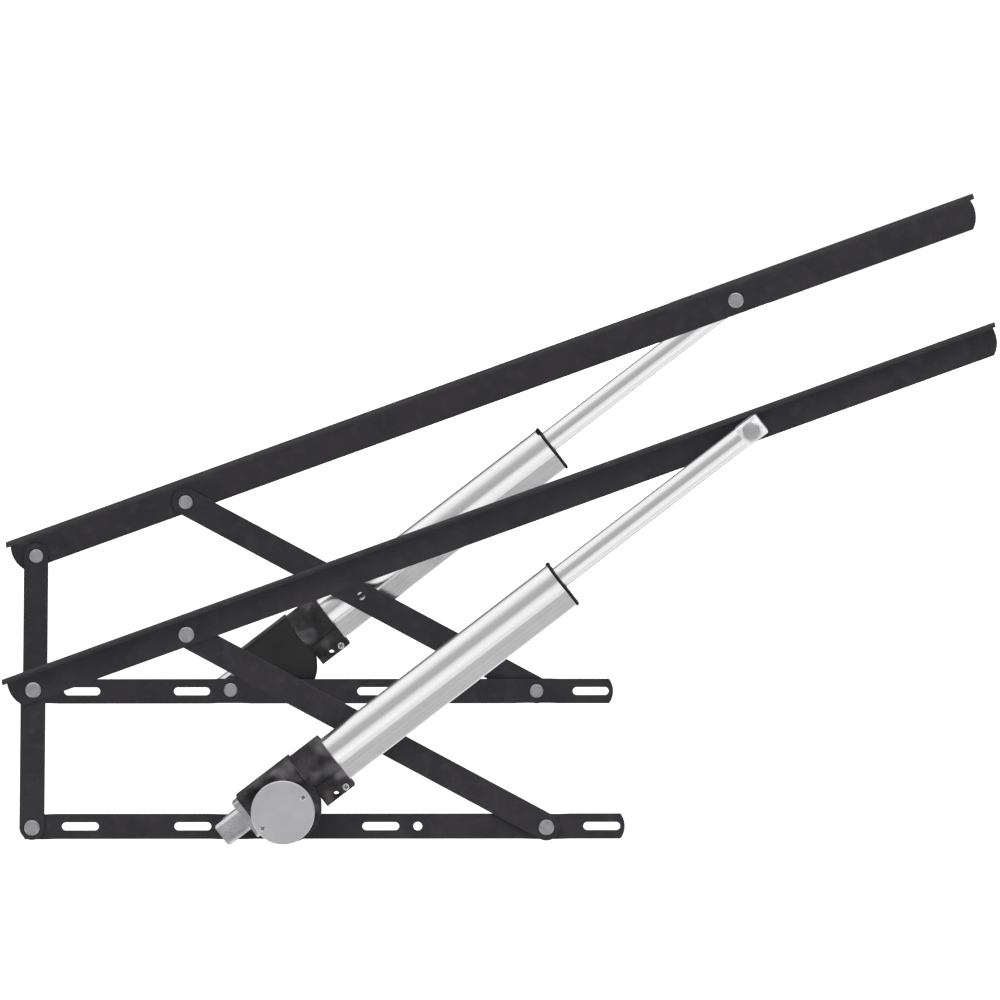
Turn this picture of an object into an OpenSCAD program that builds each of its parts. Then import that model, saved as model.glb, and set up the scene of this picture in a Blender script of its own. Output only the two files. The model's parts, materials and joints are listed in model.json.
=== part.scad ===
// Electric lift mechanism for a storage bed, sold as a mirrored pair.
// Each side is a four-bar linkage on a base rail: a rear link and a long front link carry an
// angle-section lift arm, and a linear actuator between the rail and the arm raises it.
// All lengths are in millimetres. +X runs from the hinge end to the free end of the arms, +Z is up.
// The origin is under the middle of the pair, on the level of its lowest point with the arms raised.

/* [Pair] */
// Distance between the mounting faces of the two base rails
pair_gap = 1200; // [600:10:1900]
// Slope of the lift arm at the top of its travel, in degrees
lift_angle = 19.9; // [12:0.1:22]

/* [Base rail] */
// Height of the rail bar
rail_h = 25; // [22:0.5:32]
// Thickness of the rail bar
rail_t = 3; // [2.5:0.5:4]
// Offset of the pressed pivot pads from the mounting face
rail_joggle = 3.5; // [3:0.5:6]
// Length of each sloping step beside a pad
joggle_ramp = 11; // [6:0.5:11.5]
// Rail left behind the rear pivot
rail_rear_over = 11; // [9:0.5:16]
// Flat pad length in front of the rear pivot
rear_pad = 14; // [11:0.5:18]
// Half length of the flat pad at the actuator stud
stud_pad = 10.5; // [10:0.5:18]
// Half length of the flat pad at the front pivot
front_pad = 12.5; // [11:0.5:20]
// Actuator stud, measured from the rear pivot
actuator_pivot_x = 200.5; // [180:0.5:230]
// Actuator stud above the rail's centre line
actuator_pivot_z = 1.25; // [0:0.25:2.5]
// Front pivot, measured from the rear pivot
front_pivot_x = 514.5; // [495:0.5:525]
// Centres of the mounting slots, measured from the rear pivot
slot_x = [48.5, 161, 349, 570]; // [40:0.5:620]
// Overall length of a mounting slot
slot_len = 37; // [20:0.5:40]
// Width of a mounting slot
slot_w = 8.5; // [6:0.5:13]
// Metal left in front of the last slot
slot_end_wall = 4.5; // [4:0.5:15]
// Spare hole, measured from the rear pivot
spare_hole_x = 386; // [375:0.5:420]
// Diameter of the spare hole
spare_hole_d = 9; // [4:0.5:12]
// Radius of the rounded ends of the rail
rail_end_r = 21; // [17:0.5:40]

/* [Links] */
// Thickness of both links
link_t = 4; // [3:0.5:6]
// Rear link, pivot to pivot
rear_link_len = 139; // [134:0.5:146]
// Width of the rear link
rear_link_w = 25; // [22:0.5:30]
// Front link, pivot to pivot
front_link_len = 409; // [402:0.5:416]
// Width of the front link
front_link_w = 27; // [22:0.5:32]
// Diameter of the spare hole half way along the front link
link_hole_d = 8.5; // [4:0.5:12]

/* [Pivots] */
// Diameter of the rivet shanks
pin_d = 10; // [8:0.5:12]
// Diameter of the rivet heads
head_d = 15.5; // [14.5:0.5:18]
// Height of the rivet heads
head_h = 3; // [2:0.25:4]
// Diameter of the formed rivet tails
tail_d = 14; // [13.5:0.5:17]
// Height of the formed rivet tails
tail_h = 2.5; // [1.5:0.25:3]
// Diameter of the spacer washers
washer_d = 20; // [18:0.5:22]
// Thickness of the spacer washers
washer_t = 1; // [0.75:0.25:2]
// Radial clearance of a turning or sliding fit
run_clear = 0.05; // [0.02:0.01:0.08]
// Side play between a link and its washer
side_play = 0.2; // [0.1:0.05:0.4]

/* [Lift arm] */
// Length of the arm's flange
arm_len = 1055; // [960:1:1200]
// Height of the web
arm_web = 32; // [30:0.5:36]
// Width of the flange
arm_flange = 30; // [26:0.5:34]
// Thickness of the angle section
arm_t = 3; // [2.5:0.25:4]
// Outside radius of the bend
bend_r = 4.5; // [4.25:0.25:7]
// Distance the web stops short of the flange at each end
web_setback = 3; // [1:0.5:6]
// Radius of the web's rounded ends
web_end_r = 29; // [24:0.5:40]
// Middle of the web's rounded ends, below the top face
web_end_drop = 11.5; // [9:0.5:15]
// Rear pivot hole, measured from the rear end of the flange
rear_hole_s = 26; // [20:0.5:40]
// Distance between the two link holes
link_pitch = 163; // [155:0.5:170]
// Link holes below the top face
link_hole_drop = 20.5; // [17:0.25:21]
// Actuator hole, measured from the rear end of the flange
front_hole_s = 790; // [770:0.5:805]
// Room between the rod and the flange at the actuator hole
front_clear = 3.5; // [3.25:0.25:5]
// Rear pair of platform screw holes, measured from the rear end of the flange
platform_rear = [70, 390]; // [40:1:450]
// Front pair of platform screw holes, measured back from the front end of the flange
platform_front = [365, 45]; // [40:1:450]
// Diameter of the platform screw holes
platform_d = 8.5; // [4:0.5:11]

/* [Actuator housing] */
// Rear end left behind the actuator stud
rear_reach = 12.5; // [12:0.5:20]
// Thickness of the square rear end
block_w = 24.5; // [21:0.5:26]
// Chamfer along the edges of the rear end
block_chamfer = 3; // [1:0.5:5]
// Middle of the rear end, above the screw axis
block_rise = 1.5; // [0:0.25:3]
// Length of the rear end in front of the stud
rear_neck = 16; // [14:0.5:19]
// Thickness of the rear end's fixing plate
plate_t = 7; // [3:0.5:8]
// Height of the fixing plate
plate_h = 42; // [32:0.5:44]
// Length of the gear case in front of the fixing plate
case_len = 101.5; // [98:0.5:120]
// Radius of the collar round the tube
collar_r = 22.75; // [20:0.25:25]
// Amount the gear case stands above the collar
case_rise = 0.75; // [0.5:0.25:3]
// Length of the collar
collar_len = 36.5; // [32:0.5:42]
// Depth of the collar's lower lug, below the screw axis
lug_drop = 39.25; // [37:0.25:46]
// Wall of the lug on each side of the tube's channel
lug_wall = 3; // [2:0.25:5]
// Half depth of the gear case on the cover side
case_back = 18; // [17:0.5:20]
// Half depth of the gear case on the motor side
case_front = 20; // [18:0.5:22]
// Thickness of the gear cover
cover_t = 4; // [2.5:0.5:4.5]

/* [Motor] */
// Motor shaft, measured along the screw axis from the stud
motor_u = 52.5; // [51.5:0.5:56]
// Centre distance between the motor shaft and the screw
motor_drop = 14.25; // [12.5:0.25:15]
// Radius of the motor's end plate
motor_r = 32; // [30:0.5:33]
// Lip of the end plate round the motor can
plate_lip = 2.5; // [2:0.25:3.5]
// Wall of the motor can
can_wall = 1.5; // [1:0.25:2.5]
// Length of the can outside the gear case
can_out = 18; // [14:0.5:40]
// Thickness of the motor end plate
end_plate_t = 2.5; // [2:0.25:4]
// Radius of the gear chamber
chamber_r = 34.25; // [33:0.25:36]
// Radius of the armature
armature_r = 21; // [16:0.5:23]

/* [Tube and rod] */
// Radius of the outer tube's round side
tube_r = 17.5; // [16.5:0.25:19]
// Wall of the outer tube
tube_wall = 2.5; // [2:0.25:2.75]
// Depth of the wiring channel below the screw axis
channel_drop = 31.5; // [29:0.5:34]
// Half width of the wiring channel
channel_half = 11; // [9:0.5:12]
// Radius of the wiring channel's lower edges
channel_edge_r = 1.25; // [0.5:0.25:4]
// Depth of the tube's socket in the collar
socket_len = 26; // [20:0.5:30]
// Length of the tube in front of the collar
tube_out = 286; // [260:1:330]
// Thickness of the tube's end cap
cap_t = 2; // [2:0.5:8]
// Amount the cap stands proud of the tube
cap_lip = 1; // [0.5:0.25:2]
// Diameter of the extension rod
rod_d = 22.5; // [18:0.5:24]
// Wall of the extension rod
rod_wall = 3; // [2:0.25:3.25]
// Length of the rod that stays in the tube at the top of the travel
rod_overlap = 150; // [140:1:160]
// Rod end left beyond the front bolt
rod_end_reach = 13; // [10:0.5:14]
// Rod end left behind the front bolt
rod_end_neck = 12; // [11:0.5:24]
// Length of the drive nut
nut_len = 28; // [20:0.5:36]
// Radius of the lead screw
screw_r = 6; // [5:0.25:6.25]
// Front bolt, across the flats
bolt_flats = 17; // [15:0.5:19]
// Height of the front bolt's head
bolt_h = 6.5; // [5:0.25:9]

/* [Hidden] */
$fn = 96;
SIDES = ["right", "left"];
PIECES = [
    "base_rail", "rail_rivets", "rail_washers", "rear_stud",
    "rear_link", "rear_link_rivet", "front_link",
    "lift_arm", "arm_rivets", "pivot_washers", "front_stud",
    "rear_end", "gear_case", "gear_cover", "motor_can", "motor_end_plate", "case_screws",
    "outer_tube", "tube_end_cap", "thrust_bearing", "field_magnets",
    "extension_rod", "drive_nut", "rod_end", "front_spacer", "front_bolt",
    "lead_screw", "worm_wheel", "motor_rotor"
];
NODES = [for (side = SIDES) for (piece = PIECES) str(side, "_", piece)];
node = "all";

charcoal = [0.20, 0.20, 0.21];
rivet_grey = [0.56, 0.55, 0.57];
silver = [0.80, 0.80, 0.81];
zinc_grey = [0.68, 0.67, 0.68];
case_black = [0.16, 0.16, 0.17];
steel = [0.62, 0.62, 0.64];
brass = [0.78, 0.62, 0.30];
copper = [0.72, 0.42, 0.25];
magnet_grey = [0.30, 0.30, 0.31];
// Length by which a cut runs past the metal it opens
past = 1;

// Depth of each layer from the mounting face
rail_front = rail_joggle + rail_t;
link_back = rail_front + washer_t + side_play;
link_front = link_back + link_t;
web_back = link_front + washer_t + side_play;
web_front = web_back + arm_t;
axis_depth = web_front + side_play + tube_r + cap_lip;

// The linkage at the top of its travel, in the plane of the unit, from the rear pivot
function turned(p, a) = [p.x * cos(a) - p.y * sin(a), p.x * sin(a) + p.y * cos(a)];
stud_at = [actuator_pivot_x, actuator_pivot_z];
front_foot = [front_pivot_x, 0];
arm_pitch = turned([link_pitch, 0], lift_angle);
shifted_foot = front_foot - arm_pitch;
foot_dist = norm(shifted_foot);
foot_dir = shifted_foot / foot_dist;
rear_along = (pow(rear_link_len, 2) - pow(front_link_len, 2) + pow(foot_dist, 2)) / (2 * foot_dist);
rear_up = sqrt(pow(rear_link_len, 2) - pow(rear_along, 2));
rear_top = rear_along * foot_dir + rear_up * [-foot_dir.y, foot_dir.x];
front_top = rear_top + arm_pitch;
arm_tip = rear_top + turned([-rear_hole_s, link_hole_drop], lift_angle);
front_hole_drop = arm_t + rod_d / 2 + front_clear;
bolt_at = arm_tip + turned([front_hole_s, -front_hole_drop], lift_angle);
rear_link_angle = atan2(rear_top.y, rear_top.x);
front_link_angle = atan2(front_top.y - front_foot.y, front_top.x - front_foot.x);
swing_angle = atan2(bolt_at.y - stud_at.y, bolt_at.x - stud_at.x);
reach = norm(bolt_at - stud_at);

// The middle of the pair, from the ends of the arm
web_end_at = arm_tip + turned(
    [arm_len - web_setback - web_end_r, -web_end_drop],
    lift_angle
);
middle_x = (arm_tip.x + web_end_at.x + web_end_r) / 2;
// Height of the rail's centre line above the lowest point, which is a corner of the actuator's rear end
rail_z = (rear_reach - block_chamfer) * sin(swing_angle)
    + (block_w / 2 - block_rise - block_chamfer) * cos(swing_angle) + block_chamfer - stud_at.y;
// Platform screw holes along the flange, and their line across it
platform_s = [platform_rear[0], platform_rear[1], arm_len - platform_front[0], arm_len - platform_front[1]];
platform_line = web_back + arm_t + (arm_flange - arm_t) / 2;

// Stations along the screw axis, from the stud
plate_u = rear_neck;
case_u = plate_u + plate_t;
collar_end = case_u + case_len;
collar_u = collar_end - collar_len;
tube_end = collar_end + tube_out;
cap_end = tube_end + cap_t;
rod_tail = tube_end - rod_overlap;
rod_front = reach - rod_end_neck;

// Gear case: the round chamber meets the rear face, and stands a little below the motor
chamber_u = case_u + chamber_r;
chamber_w = -motor_drop - 1.5;
case_top = collar_r + case_rise;
case_edge_r = 4;
lug_half = channel_half + lug_wall;
// Slit between the chamber and the lug
lug_gap = 2;
// Seam between the cover and the collar
case_seam = 0.5;
// Holes through the collar's lug, along the screw axis and down from it
lug_hole_d = 6;
lug_hole_w = 4.5 - lug_drop;
clamp_screw_u = collar_end - 8;
lug_hole_u = collar_end - 20;

// Drive inside the gear case
fit = run_clear;
socket_u = collar_end - socket_len;
bearing_len = 8;
bearing_u = socket_u - bearing_len;
bearing_r = 14;
screw_tail = case_u + 4;
screw_end = tube_end - 6;
wheel_len = 10;
worm_r = 4.2;
mesh_gap = 0.4;
wheel_r = motor_drop - worm_r - mesh_gap;
wheel_teeth = 20;
tooth_h = 1.6;
bore_r = tube_r - tube_wall;
nut_r = bore_r - mesh_gap;

// Motor: the can stands clear of the wheel and of the case's rear face, with room for the armature
case_wall = 1.5;
can_r = min(motor_r - plate_lip, motor_u - case_u - case_wall);
can_back = wheel_r + 1.6;
can_front = case_front + can_out;
shaft_r = 3;
armature_back = can_back + 5;
armature_front = can_front - 3;
magnet_gap = 1;
plate_screw_r = motor_r - 6.5;

// A plate in the side view, between two depths
module plate(from, to) {
    translate([0, to, 0]) rotate([90, 0, 0]) linear_extrude(to - from) children();
}

// A round pin across the unit, between two depths
module pin(d, from, to) {
    translate([0, to, 0]) rotate([90, 0, 0]) cylinder(d = d, h = to - from);
}

// A profile drawn in depth and height, run forward between two stations
module run(from, to) {
    translate([from, 0, 0]) rotate([90, 0, 90]) linear_extrude(to - from) children();
}

// A round bar along the screw axis
module round_bar(r, from, to) {
    translate([from, 0, 0]) rotate([0, 90, 0]) cylinder(r = r, h = to - from);
}

// A point in the side view, with its own slope
module at(p, angle = 0) {
    translate([p.x, 0, p.y]) rotate([0, -angle, 0]) children();
}

// A flat bar outline with its own corner radius at each end
module bar_outline(from, to, h, r_from, r_to) {
    translate([from + r_from, -h / 2]) square([to - from - r_from - r_to, h]);
    for (end = [[from, r_from, 1], [to, r_to, -1]]) {
        r = end[1];
        middle = end[0] + end[2] * r;
        if (2 * r < h) {
            translate([middle - r, r - h / 2]) square([2 * r, h - 2 * r]);
        }
        for (z = 2 * r < h ? [-1, 1] : [0]) {
            translate([middle, z * (h / 2 - r)]) circle(r = r);
        }
    }
}

// A screw head or rivet tail with a chamfered rim, standing away from the given depth
module rivet_cap(d, h, from, way) {
    rim = h / 3;
    translate([0, from, 0]) rotate([-90 * way, 0, 0]) {
        cylinder(d = d, h = h - rim);
        translate([0, 0, h - rim]) cylinder(d1 = d, d2 = d - 2 * rim, h = rim);
    }
}

// A rivet head with the shallow ring that the closing tool leaves
module rivet_head(from, way) {
    ring_r = head_d / 3;
    ring_w = 0.6;
    ring_depth = 0.3;
    difference() {
        rivet_cap(head_d, head_h, from, way);
        translate([0, from + way * (head_h - ring_depth), 0]) rotate([-90 * way, 0, 0]) difference() {
            cylinder(r = ring_r, h = past);
            cylinder(r = ring_r - ring_w, h = past);
        }
    }
}

module washer(from, to) {
    difference() {
        pin(washer_d, from, to);
        pin(pin_d + 2 * fit, from - past, to + past);
    }
}

// A place on the arm, measured along its flange and down from its top face
module on_arm(s, drop) {
    at(arm_tip, lift_angle) translate([s, 0, -drop]) children();
}

// The actuator's own frame: forward along the screw, outward from the rail, up across it
module on_actuator() {
    translate([stud_at.x, axis_depth, stud_at.y]) rotate([0, -swing_angle, 0]) children();
}

// The left unit stands on the +Y side, and the right unit is its mirror image
module on_side(side) {
    mirror([0, side == "right" ? 1 : 0, 0])
        translate([-middle_x, pair_gap / 2, rail_z]) children();
}

// Side outline of the rail, with a shallow round at each end
module rail_outline(from, to) {
    ends = [from + rail_end_r, to - rail_end_r];
    intersection() {
        union() {
            translate([ends[0], -rail_h / 2]) square([ends[1] - ends[0], rail_h]);
            for (x = ends) {
                translate([x, 0]) circle(r = rail_end_r);
            }
        }
        translate([from, -rail_h / 2]) square([to - from, rail_h]);
    }
}

// Flat bar pressed out at its three pivots, so the rivet tails clear the bed board
module base_rail() {
    rail_end = slot_x[3] + slot_len / 2 + slot_end_wall;
    steps = [
        [-rail_rear_over, rail_joggle],
        [rear_pad, rail_joggle],
        [rear_pad + joggle_ramp, 0],
        [stud_at.x - stud_pad - joggle_ramp, 0],
        [stud_at.x - stud_pad, rail_joggle],
        [stud_at.x + stud_pad, rail_joggle],
        [stud_at.x + stud_pad + joggle_ramp, 0],
        [front_foot.x - front_pad - joggle_ramp, 0],
        [front_foot.x - front_pad, rail_joggle],
        [front_foot.x + front_pad, rail_joggle],
        [front_foot.x + front_pad + joggle_ramp, 0],
        [rail_end, 0]
    ];
    last = len(steps) - 1;
    color(charcoal) difference() {
        intersection() {
            translate([0, 0, -rail_h / 2]) linear_extrude(rail_h) polygon([
                for (p = steps) p,
                for (i = [0 : last]) steps[last - i] + [0, rail_t]
            ]);
            plate(-past, rail_front + past) rail_outline(-rail_rear_over, rail_end);
        }
        for (x = slot_x) {
            translate([x, 0, 0]) plate(-past, rail_front + past)
                bar_outline(-slot_len / 2, slot_len / 2, slot_w, slot_w / 2, slot_w / 2);
        }
        for (p = [[0, 0], stud_at, front_foot]) {
            at(p) pin(pin_d + 2 * fit, -past, rail_front + past);
        }
        at([spare_hole_x, 0]) pin(spare_hole_d, -past, rail_front + past);
    }
}

// Rivets set in the rail, on which the two links turn
module rail_rivets() {
    color(rivet_grey) for (p = [[0, 0], front_foot]) {
        at(p) {
            rivet_cap(tail_d, tail_h, rail_joggle, -1);
            pin(pin_d, rail_joggle, link_front + side_play);
            rivet_head(link_front + side_play, 1);
        }
    }
}

module rail_washers() {
    color(rivet_grey) for (p = [[0, 0], front_foot]) {
        at(p) washer(rail_front, rail_front + washer_t);
    }
}

// Shouldered stud riveted in the rail, which carries the actuator's rear end
module rear_stud() {
    block_back = axis_depth - block_w / 2;
    shoulder_d = pin_d + 6;
    color(rivet_grey) at(stud_at) {
        rivet_cap(tail_d, tail_h, rail_joggle, -1);
        pin(pin_d, rail_joggle, rail_front);
        pin(shoulder_d, rail_front, block_back - side_play);
        pin(pin_d, block_back - side_play, axis_depth + block_w / 4 - side_play);
    }
}

module link_bar(length, w) {
    difference() {
        plate(link_back, link_front) bar_outline(-w / 2, length + w / 2, w, w / 2, w / 2);
        for (x = [0, length]) {
            translate([x, 0, 0]) pin(pin_d + 2 * fit, link_back - past, link_front + past);
        }
    }
}

module rear_link() {
    color(charcoal) at([0, 0], rear_link_angle) link_bar(rear_link_len, rear_link_w);
}

// The link's half of the rear upper rivet, with its spacer washer
module rear_link_rivet() {
    color(rivet_grey) at(rear_top) {
        rivet_cap(tail_d, tail_h, link_back, -1);
        pin(pin_d, link_back, link_front);
        pin(washer_d, link_front, link_front + washer_t);
    }
}

module front_link() {
    color(charcoal) at(front_foot, front_link_angle) difference() {
        link_bar(front_link_len, front_link_w);
        translate([front_link_len / 2, 0, 0]) pin(link_hole_d, link_back - past, link_front + past);
    }
}

// Angle section in depth and height: web down, flange outward, round bend between them
module angle_section() {
    translate([web_back, -arm_web]) square([arm_t, arm_web - bend_r]);
    translate([web_back + bend_r, -arm_t]) square([arm_flange - bend_r, arm_t]);
    translate([web_back + bend_r, -bend_r]) intersection() {
        difference() {
            circle(r = bend_r);
            circle(r = bend_r - arm_t);
        }
        translate([-bend_r, 0]) square(bend_r);
    }
}

// Side outline of the arm: the flange runs to the tips, the web stops short with shallow round ends
module arm_outline() {
    ends = [web_setback + web_end_r, arm_len - web_setback - web_end_r];
    translate([0, -arm_t]) square([arm_len, arm_t]);
    intersection() {
        union() {
            translate([ends[0], -arm_web]) square([ends[1] - ends[0], arm_web]);
            for (s = ends) {
                translate([s, -web_end_drop]) circle(r = web_end_r);
            }
        }
        translate([0, -arm_web]) square([arm_len, arm_web]);
    }
}

module lift_arm() {
    color(charcoal) difference() {
        at(arm_tip, lift_angle) intersection() {
            run(0, arm_len) angle_section();
            plate(web_back - past, web_back + arm_flange + past) arm_outline();
        }
        for (hole = [
            [rear_hole_s, link_hole_drop],
            [rear_hole_s + link_pitch, link_hole_drop],
            [front_hole_s, front_hole_drop]
        ]) {
            on_arm(hole[0], hole[1]) pin(pin_d + 2 * fit, web_back - past, web_front + past);
        }
        for (s = platform_s) {
            on_arm(s, arm_t + past) translate([0, platform_line, 0])
                cylinder(d = platform_d, h = arm_t + 2 * past);
        }
    }
}

// The arm's own rivets: a whole one at the front link, and the head half at the rear link
module arm_rivets() {
    color(rivet_grey) {
        at(front_top) {
            rivet_cap(tail_d, tail_h, link_back - side_play, -1);
            pin(pin_d, link_back - side_play, web_front);
        }
        at(rear_top) pin(pin_d, web_back, web_front);
        for (p = [rear_top, front_top]) {
            at(p) rivet_head(web_front, 1);
        }
    }
}

module pivot_washers() {
    color(rivet_grey) at(front_top) washer(web_back - washer_t, web_back);
}

// The arm's half of the actuator pivot: a round-headed pin in the web
module front_stud() {
    color(rivet_grey) at(bolt_at) {
        rivet_head(web_back, -1);
        pin(pin_d, web_back, web_front);
    }
}

// Square bar section with chamfered edges, in depth and height
module block_section(w, chamfer) {
    half = w / 2;
    flat = half - chamfer;
    polygon([
        [half, flat], [flat, half], [-flat, half], [-half, flat],
        [-half, -flat], [-flat, -half], [flat, -half], [half, -flat]
    ]);
}

// Cast end that turns on the stud, with its fixing plate against the gear case
module rear_end() {
    half = block_w / 2;
    pocket = 0.55 * block_w;
    pocket_depth = 1;
    plate_half = collar_r - 5;
    color(silver) on_actuator() difference() {
        union() {
            intersection() {
                run(-rear_reach, plate_u) translate([0, block_rise])
                    block_section(block_w, block_chamfer);
                plate(-half - past, half + past) translate([0, block_rise])
                    bar_outline(-rear_reach, plate_u + block_chamfer, block_w, block_chamfer, past);
            }
            run(plate_u, case_u) translate([-plate_half, 0])
                bar_outline(0, 2 * plate_half, plate_h, block_chamfer, block_chamfer);
        }
        pin(pin_d + 2 * fit, -half - past, block_w / 4);
        translate([-pocket / 2, half - pocket_depth, block_rise - pocket / 2])
            cube([pocket, pocket_depth + past, pocket]);
    }
}

// Tube section in depth and height: a round side with a flat wiring channel below it
module tube_section(grow) {
    circle(r = tube_r + grow);
    translate([0, -channel_drop / 2]) rotate(90)
        bar_outline(-channel_drop / 2 - grow, channel_drop / 2, 2 * (channel_half + grow),
            channel_edge_r + grow, past);
}

// Side outline of the round gear chamber and the block behind it
module chamber_outline(inset) {
    translate([chamber_u, chamber_w]) circle(r = chamber_r - inset);
    translate([case_u + inset, chamber_w])
        square([collar_u - case_u - inset + past, case_top - chamber_w - inset]);
}

// Black casting that holds the worm drive, the motor and the foot of the tube
module gear_case() {
    color(case_black) on_actuator() difference() {
        union() {
            intersection() {
                plate(-case_back, case_front) chamber_outline(0);
                run(case_u, collar_end) translate([-case_back, 0]) rotate(90)
                    bar_outline(chamber_w - chamber_r, case_top, 2 * (case_front + case_back),
                        past, case_edge_r);
            }
            round_bar(collar_r, collar_u, collar_end);
            run(collar_u + lug_gap, collar_end) translate([0, -lug_drop / 2]) rotate(90)
                bar_outline(-lug_drop / 2, lug_drop / 2, 2 * lug_half, lug_wall, past);
        }
        run(socket_u, collar_end + past) tube_section(fit);
        round_bar(bearing_r + fit, bearing_u, socket_u + past);
        round_bar(screw_r + fit, screw_tail - past, bearing_u + past);
        round_bar(wheel_r + mesh_gap, motor_u - wheel_len / 2 - mesh_gap, motor_u + wheel_len / 2 + mesh_gap);
        translate([motor_u, 0, -motor_drop]) {
            pin(2 * (worm_r + mesh_gap), -case_back - past, can_back + past);
            pin(2 * (can_r + fit), can_back, case_front + past);
        }
        for (u = [lug_hole_u, clamp_screw_u]) {
            at([u, lug_hole_w]) pin(lug_hole_d, -lug_half - past, lug_half + past);
        }
    }
}

// Smooth cover that closes the casting on the rail side and carries the motor shaft's end
module gear_cover() {
    rim = cover_t / 2;
    color(case_black) on_actuator() difference() {
        union() {
            plate(-case_back - cover_t + rim, -case_back) chamber_outline(0);
            plate(-case_back - cover_t, -case_back - cover_t + rim) chamber_outline(rim);
        }
        round_bar(collar_r + case_seam, collar_u - case_seam, collar_end);
        translate([motor_u, 0, -motor_drop])
            pin(2 * (shaft_r + fit), -case_back - cover_t + past, -case_back + past);
    }
}

// Drawn steel can of the motor, sunk in the gear case
module motor_can() {
    color(zinc_grey) on_actuator() translate([motor_u, 0, -motor_drop]) difference() {
        pin(2 * can_r, can_back, can_front);
        pin(2 * (can_r - can_wall), can_back + can_wall, can_front + past);
        pin(2 * (worm_r + mesh_gap), can_back - past, can_back + can_wall + past);
    }
}

// Pressed plate that closes the motor and carries the front end of its shaft
module motor_end_plate() {
    boss_h = 2;
    color(zinc_grey) on_actuator() translate([motor_u, 0, -motor_drop]) difference() {
        union() {
            rivet_cap(2 * motor_r, end_plate_t, can_front, 1);
            pin(4 * shaft_r, can_front - boss_h, can_front);
        }
        pin(2 * (shaft_r + fit), can_front - boss_h - past, can_front + end_plate_t / 2);
    }
}

// Small screws: two in the motor end plate, and one in the lug of the collar
module case_screws() {
    screw_head_d = 7;
    screw_head_h = 1.5;
    color(rivet_grey) on_actuator() {
        for (way = [-1, 1]) {
            translate([motor_u + way * plate_screw_r, 0, -motor_drop])
                rivet_cap(screw_head_d, screw_head_h, can_front + end_plate_t, 1);
        }
        at([clamp_screw_u, lug_hole_w]) {
            pin(lug_hole_d - 2 * fit, -lug_half, lug_half);
            rivet_cap(screw_head_d, screw_head_h, lug_half, 1);
            rivet_cap(screw_head_d, screw_head_h, -lug_half, -1);
        }
    }
}

// Extruded tube with a round bore and a separate wiring channel
module outer_tube() {
    color(silver) on_actuator() run(socket_u, tube_end) difference() {
        tube_section(0);
        circle(r = bore_r);
        translate([0, -tube_r]) rotate(90)
            bar_outline(tube_wall - channel_drop + tube_r, 0, 2 * (channel_half - tube_wall), past, past);
    }
}

// Moulded cap that closes the tube and guides the rod
module tube_end_cap() {
    color(case_black) on_actuator() difference() {
        run(tube_end, cap_end) tube_section(cap_lip);
        round_bar(rod_d / 2 + fit, tube_end - past, cap_end + past);
    }
}

// Bearing that takes the screw's thrust in the gear case
module thrust_bearing() {
    groove = 2;
    color(steel) on_actuator() difference() {
        round_bar(bearing_r, bearing_u, socket_u);
        round_bar(screw_r + fit, bearing_u - past, socket_u + past);
        translate([bearing_u + bearing_len / 2 - groove / 2, 0, 0]) rotate([0, 90, 0]) difference() {
            cylinder(r = bearing_r + past, h = groove);
            cylinder(r = bearing_r - groove, h = groove);
        }
    }
}

// Pair of curved magnets on the can's inner wall
module field_magnets() {
    outer = can_r - can_wall - fit;
    slit = motor_r / 3;
    color(magnet_grey) on_actuator() translate([motor_u, 0, -motor_drop]) difference() {
        pin(2 * outer, armature_back, armature_front);
        pin(2 * (armature_r + magnet_gap), armature_back - past, armature_front + past);
        translate([-motor_r, armature_back - past, -slit / 2])
            cube([2 * motor_r, armature_front - armature_back + 2 * past, slit]);
    }
}

// Hollow rod that slides in the cap
module extension_rod() {
    color(silver) on_actuator() difference() {
        round_bar(rod_d / 2, rod_tail, rod_front);
        round_bar(rod_d / 2 - rod_wall, rod_tail - past, rod_front + past);
    }
}

// Plastic nut that the screw drives along the bore, with the rod's tail set in it
module drive_nut() {
    seat = nut_len / 2;
    color([0.86, 0.84, 0.78]) on_actuator() difference() {
        round_bar(nut_r, rod_tail - seat, rod_tail - seat + nut_len);
        round_bar(rod_d / 2 + fit, rod_tail, rod_tail - seat + nut_len + past);
        round_bar(screw_r + fit, rod_tail - seat - past, rod_tail + past);
    }
}

// Square end of the rod, with a plug in the rod's bore and a cross hole for the front bolt
module rod_end() {
    half = rod_d / 2;
    plug_len = rod_d;
    edge = 1.5;
    color(silver) on_actuator() difference() {
        union() {
            intersection() {
                run(rod_front, reach + rod_end_reach) block_section(rod_d, edge / 2);
                plate(-half - past, half + past)
                    bar_outline(rod_front, reach + rod_end_reach, rod_d, edge, edge);
            }
            round_bar(rod_d / 2 - rod_wall - fit, rod_front - plug_len, rod_front + past);
        }
        translate([reach, 0, 0]) pin(pin_d + 2 * fit, -half - past, half + past);
    }
}

// Sleeve that holds the rod end off the arm's web
module front_spacer() {
    back = web_front + side_play - axis_depth;
    color(rivet_grey) on_actuator() translate([reach, 0, 0]) difference() {
        pin(pin_d + 6, back, -rod_d / 2);
        pin(pin_d + 2 * fit, back - past, -rod_d / 2 + past);
    }
}

// Hex bolt through the rod end and its spacer
module front_bolt() {
    half = rod_d / 2;
    chamfer = 1;
    corner_r = bolt_flats / sqrt(3);
    color(rivet_grey) on_actuator() translate([reach, 0, 0]) {
        pin(pin_d, web_front + side_play - axis_depth, half);
        intersection() {
            translate([0, half + bolt_h, 0]) rotate([90, 0, 0]) cylinder(r = corner_r, h = bolt_h, $fn = 6);
            union() {
                pin(2 * corner_r, half, half + bolt_h - chamfer);
                translate([0, half + bolt_h - chamfer, 0]) rotate([-90, 0, 0])
                    cylinder(r1 = corner_r, r2 = corner_r - 2 * chamfer, h = chamfer);
            }
        }
    }
}

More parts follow.
